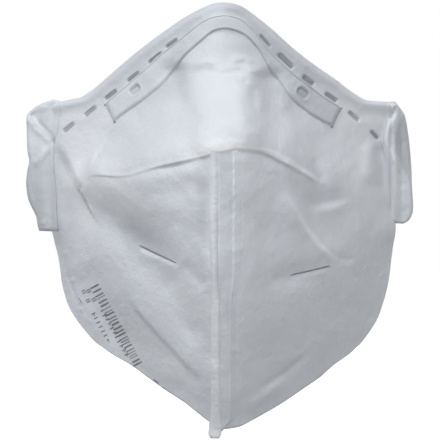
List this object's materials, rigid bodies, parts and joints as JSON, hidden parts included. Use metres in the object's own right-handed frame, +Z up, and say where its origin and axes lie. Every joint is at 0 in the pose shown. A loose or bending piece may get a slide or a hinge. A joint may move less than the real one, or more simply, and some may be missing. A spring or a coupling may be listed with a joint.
{
  "type": "disposable dust mask",
  "caption": "Vertical fold-flat half mask with welded front seam, overhanging nose panel, nose clip strip, side tabs and elastic ear loops, opened as worn.",
  "frame": {"origin": "foot of the chin tongue, where the front seam ends, on the mask's middle plane", "axes": "+Z up along the face towards the nose bridge, -Y out of the mask's front, +X towards the viewer's right when the front is seen"},
  "size_m": [0.135, 0.1394, 0.1521],
  "materials": {
    "outer_web": "white spunbond nonwoven, matte with a faint sheen",
    "stiffener_web": "stiff thermally bonded web",
    "filter_web": "soft melt-blown web",
    "lining_web": "soft spunbond nonwoven",
    "seam_web": "fused nonwoven plies, slightly glossy where welded",
    "tab_web": "fused nonwoven laminate",
    "clip_cover": "white satin strip",
    "clip_core": "soft aluminium strip",
    "foam": "closed-cell foam strip",
    "elastic": "knitted elastic cord"
  },
  "bodies": {
    "left_half": {"outer_cover_left": "outer_web", "stiffener_layer_left": "stiffener_web", "filter_web_outer_left": "filter_web", "filter_web_inner_left": "filter_web", "inner_lining_left": "lining_web", "seam_ply_base": "seam_web", "seam_ply_cap": "seam_web", "nose_clip_core": "clip_core", "nose_clip_cover": "clip_cover", "nose_foam": "foam"},
    "right_half": {"outer_cover_right": "outer_web", "stiffener_layer_right": "stiffener_web", "filter_web_outer_right": "filter_web", "filter_web_inner_right": "filter_web", "inner_lining_right": "lining_web"},
    "left_tab": {"side_tab_left": "tab_web"},
    "right_tab": {"side_tab_right": "tab_web"},
    "left_loop": {"ear_loop_left": "elastic"},
    "right_loop": {"ear_loop_right": "elastic"}
  },
  "joints": [
    {"name": "centre_fold", "type": "hinge", "parent": "left_half", "child": "right_half", "pos_m": [0, -0.02328, 0.094], "axis": [0, 0, 1], "range_deg": [-8, 74], "deforming": ["outer_cover_left", "stiffener_layer_left", "filter_web_outer_left", "filter_web_inner_left", "inner_lining_left", "outer_cover_right", "stiffener_layer_right", "filter_web_outer_right", "filter_web_inner_right", "inner_lining_right", "seam_ply_base", "seam_ply_cap", "nose_clip_core", "nose_clip_cover", "nose_foam", "ear_loop_left", "ear_loop_right"]},
    {"name": "left_tab_fold", "type": "hinge", "parent": "left_half", "child": "left_tab", "pos_m": [-0.05865, 0.05172, 0.094], "axis": [0, 0, 1], "range_deg": [-50, 30]},
    {"name": "right_tab_fold", "type": "hinge", "parent": "right_half", "child": "right_tab", "pos_m": [0.05865, 0.05172, 0.094], "axis": [0, 0, -1], "range_deg": [-50, 30]},
    {"name": "left_loop_swing", "type": "hinge", "parent": "left_tab", "child": "left_loop", "pos_m": [-0.0627, 0.05367, 0.094], "axis": [0, 0, 1], "range_deg": [-30, 40]},
    {"name": "right_loop_swing", "type": "hinge", "parent": "right_tab", "child": "right_loop", "pos_m": [0.0627, 0.05367, 0.094], "axis": [0, 0, -1], "range_deg": [-30, 40]}
  ]
}
